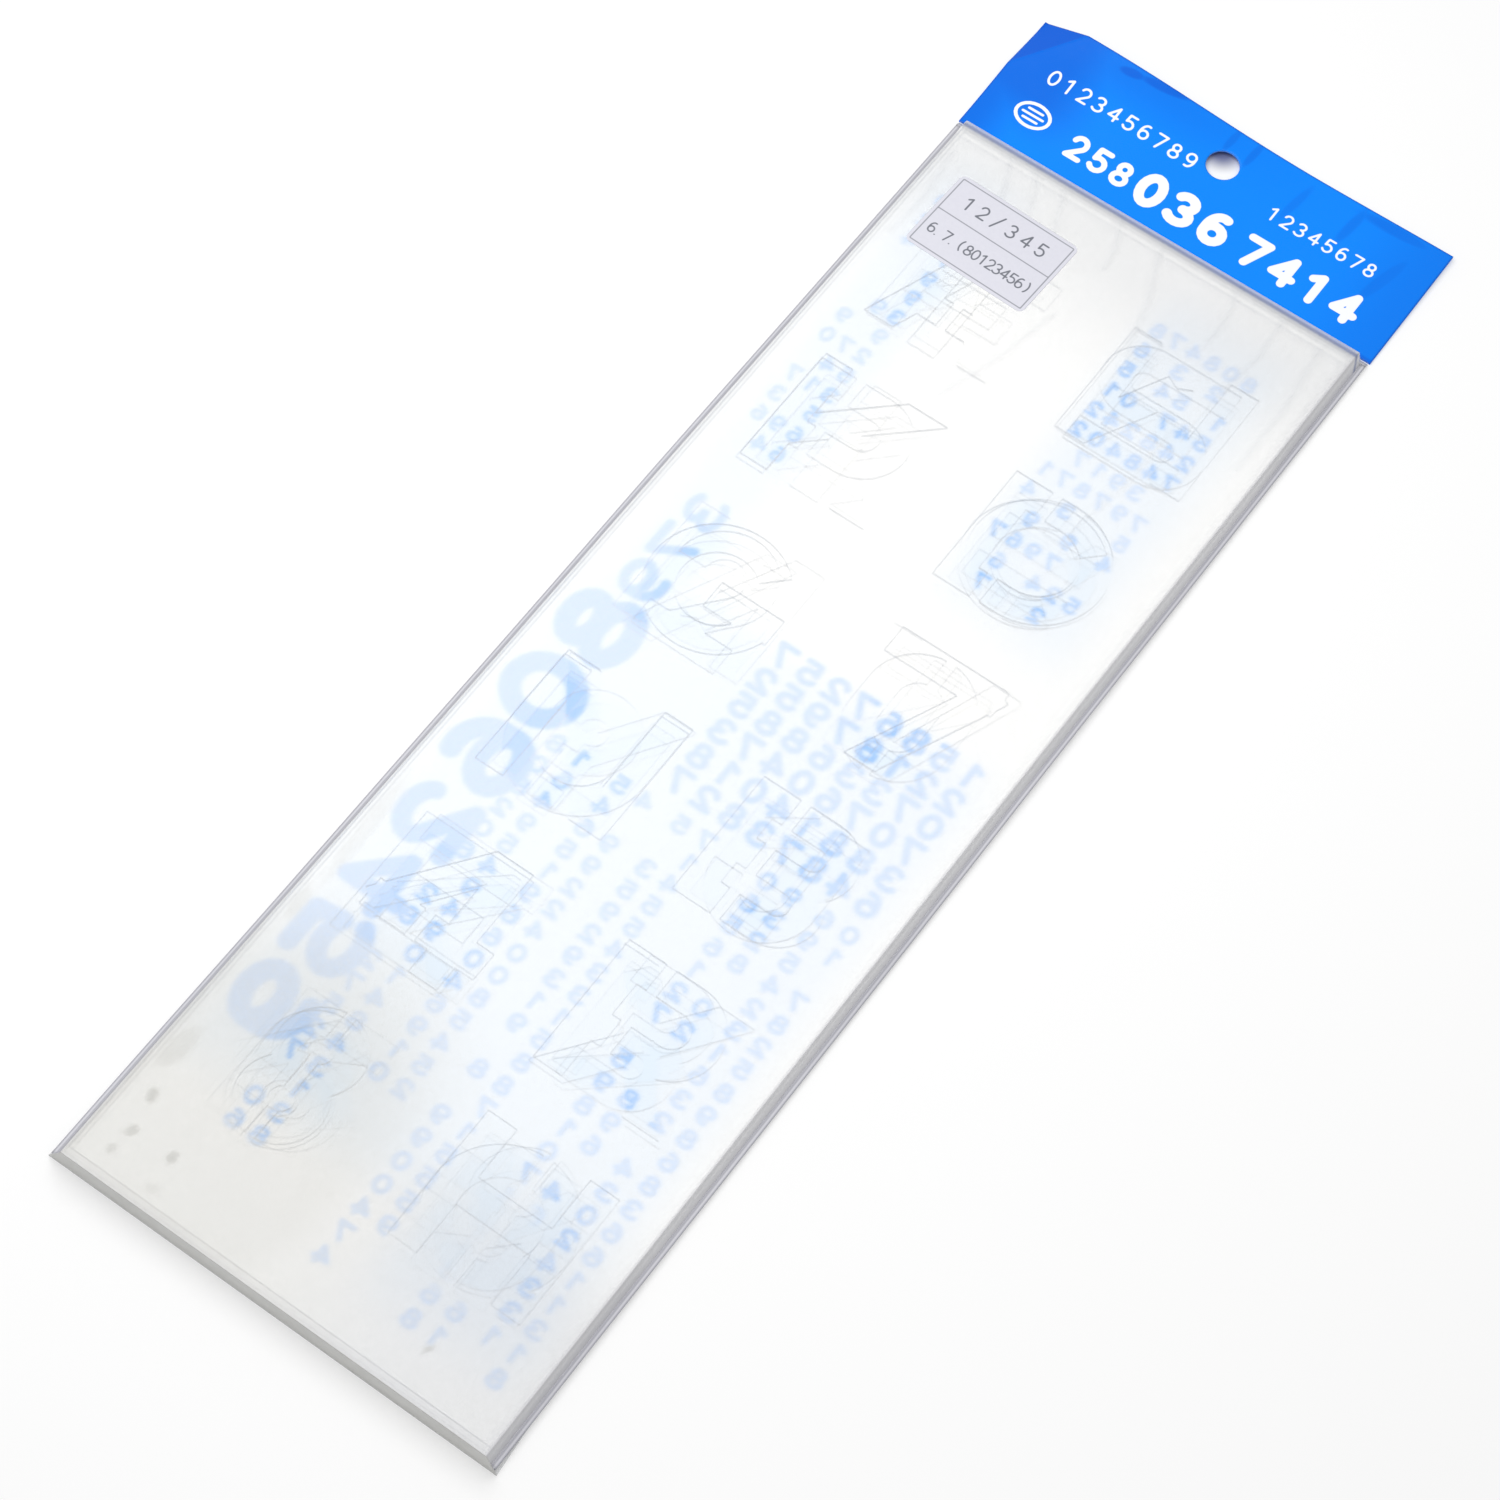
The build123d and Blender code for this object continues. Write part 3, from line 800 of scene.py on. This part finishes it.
def makeLabel():
    centre = (labelLow + labelHigh) / 2
    w, h = labelLook["width"], labelLook["height"]
    us = np.linspace(-w / 2, w / 2, 156)
    vs = np.linspace(-h / 2, h / 2, 108)
    field = np.zeros((len(vs), len(us)))
    line = labelLook["line"]
    right, top = w / 2 - labelLook["inset"], h / 2 - labelLook["inset"]
    border = [(-right, -top), (right, -top), (right, top), (-right, top), (-right, -top)]
    drawStroke(field, us, vs, border, line, line)
    drawStroke(field, us, vs, [(-right, 0.4), (right, 0.4)], line, line)
    drawFigures(field, us, vs, "12/345", -11.0, 3.2, 3.9, 0.42, 0.42, step=0.98)
    drawFigures(field, us, vs, "6.7.(80123456)", -13.3, -6.2, 3.1, 0.36, 0.42, step=0.62)
    u, v = np.meshgrid(us, vs)
    # corners are rounded by drawing the outline in along its diagonal
    r = labelLook["corner"]
    cu, cv = np.abs(u) - (w / 2 - r), np.abs(v) - (h / 2 - r)
    out = np.hypot(np.maximum(cu, 0), np.maximum(cv, 0))
    pull = np.where((cu > 0) & (cv > 0) & (out > r), r / np.maximum(out, 1e-6), 1.0)
    u = np.sign(u) * np.where((cu > 0) & (cv > 0), (w / 2 - r) + cu * pull, np.abs(u))
    v = np.sign(v) * np.where((cu > 0) & (cv > 0), (h / 2 - r) + cv * pull, np.abs(v))
    a = math.radians(labelLook["turn"])
    x = centre[0] + u * math.cos(a) - v * math.sin(a)
    y = centre[1] + u * math.sin(a) + v * math.cos(a)
    z = labelHigh[2] + 0.02 * np.cos(u / 5.0) * np.sin(v / 4.0)
    return thicken(gridMesh("label_paper", x, y, z, {"mark": field}), labelLook["thickness"], -1)


def labelMaterial():
    finish = Finish("label paper")
    fibre = finish.noise(0.8, 4.0, 0.6)
    sheet = finish.blend(fibre, labelLook["paper"], labelLook["pale"])
    tint = finish.blend(finish.ramp(finish.attribute("mark"), 0.25, 0.75), sheet, labelLook["ink"])
    return finish.done(finish.surface(color=tint, roughness=labelLook["roughness"], specular=labelLook["specular"],
                                      normal=finish.bump(fibre, 0.02)))


unblocked(settle(makeLabel(), "bag", labelMaterial(), ["label"]))
print("label stuck on")


# floor, light and camera

floorLook = {"half": 3000.0, "z": -0.02, "white": (0.96, 0.96, 0.96), "share": 0.45,
             "underHole": (0.006, 0.008), "dimShift": (-2.3, 3.8), "dimReach": (0.0012, 0.0066),
             "dim": (0.16, 0.18, 0.32)}


def makeFloor():
    line = np.linspace(-floorLook["half"], floorLook["half"], 3)
    x, y = np.meshgrid(line, line)
    floor = gridMesh("floor", x, y, 0 * x + floorLook["z"])
    finish = Finish("white floor")
    rays = finish.tree.nodes.new("ShaderNodeLightPath")
    seen = Wire(finish, rays.outputs["Is Camera Ray"])
    mirrored = Wire(finish, rays.outputs["Is Glossy Ray"])
    passed = Wire(finish, rays.outputs["Is Transmission Ray"])
    # seen directly, in a mirror or through a sheet, the floor is partly a plain white glow
    show = seen.math("MAXIMUM", mirrored).math("MAXIMUM", passed)

    def reach(place):
        return finish.node("ShaderNodeVectorMath", {"operation": "DISTANCE"},
                           [finish.node("ShaderNodeTexCoord", give="Object"), place], give="Value")

    # under the header's hole the floor shows only the light that falls through it
    middle = (header["holeX"] * mm, (header["high"] - header["holeInset"]) * mm, 0.0)
    show = show * finish.ramp(reach(middle), *floorLook["underHole"])
    # and a shadow is painted into its colour at the side where the header keeps the light off
    shiftX, shiftY = floorLook["dimShift"]
    far = (middle[0] + shiftX * mm, middle[1] + shiftY * mm, 0.0)
    tone = finish.blend(finish.ramp(reach(far), *floorLook["dimReach"]), floorLook["dim"], floorLook["white"])
    matte = finish.node("ShaderNodeBsdfDiffuse", {}, {"Color": tone})
    white = finish.node("ShaderNodeEmission", {}, {"Color": (1, 1, 1, 1), "Strength": 1.0})
    floor.data.materials.append(finish.done(finish.mixed(show * floorLook["share"], matte, white)))
    finish.material.cycles.emission_sampling = "NONE"


studio = {"sky": 0.55, "lampPlace": (-0.14, 0.03, 0.46), "lampAim": (0, 0.02, 0),
          "lampSize": (0.5, 0.5), "lampPower": 1.85}


def makeWorld():
    world = bpy.data.worlds.new("studio")
    scene.world = world
    world.use_nodes = True
    back = world.node_tree.nodes["Background"]
    back.inputs["Color"].default_value = (1.0, 1.0, 1.0, 1.0)
    back.inputs["Strength"].default_value = studio["sky"]


def addSoftbox():
    lamp = bpy.data.lights.new("softbox", "AREA")
    lamp.shape = "RECTANGLE"
    lamp.size, lamp.size_y = studio["lampSize"]
    lamp.energy = studio["lampPower"]
    holder = bpy.data.objects.new("softbox", lamp)
    scene.collection.objects.link(holder)
    holder.location = studio["lampPlace"]
    turn = (Vector(studio["lampAim"]) - Vector(studio["lampPlace"])).to_track_quat("-Z", "Y")
    holder.rotation_euler = turn.to_euler()
    holder.visible_camera = False


cameraView = {"azimuth": 31.94, "elevation": 61.18, "roll": 4.31, "distance": 847.1,
              "aim": (2.0, lipLow[1] + 151.1, 0.0), "lens": 101.14, "sensor": 36.0, "clip": (0.01, 20.0)}


def makeCamera():
    az, el, roll = (math.radians(cameraView[k]) for k in ("azimuth", "elevation", "roll"))
    back = Vector((math.cos(el) * math.sin(az), -math.cos(el) * math.cos(az), math.sin(el)))
    right = (-back).cross(Vector((0, 0, 1))).normalized()
    up = right.cross(-back)
    turnedRight = math.cos(roll) * right + math.sin(roll) * up
    turnedUp = -math.sin(roll) * right + math.cos(roll) * up
    data = bpy.data.cameras.new("camera")
    data.lens = cameraView["lens"]
    data.sensor_width = cameraView["sensor"]
    data.clip_start, data.clip_end = cameraView["clip"]
    camera = bpy.data.objects.new("camera", data)
    scene.collection.objects.link(camera)
    place = Vector(cameraView["aim"]) * mm + back * cameraView["distance"] * mm
    turn = Matrix((turnedRight, turnedUp, back)).transposed()
    camera.matrix_world = Matrix.Translation(place) @ turn.to_4x4()
    scene.camera = camera


makeFloor()
makeWorld()
addSoftbox()
makeCamera()
scene.view_settings.view_transform = "Standard"
# a ray crosses every clear sheet twice on its way through the stack
scene.cycles.transparent_max_bounces = 64
print("stage set")
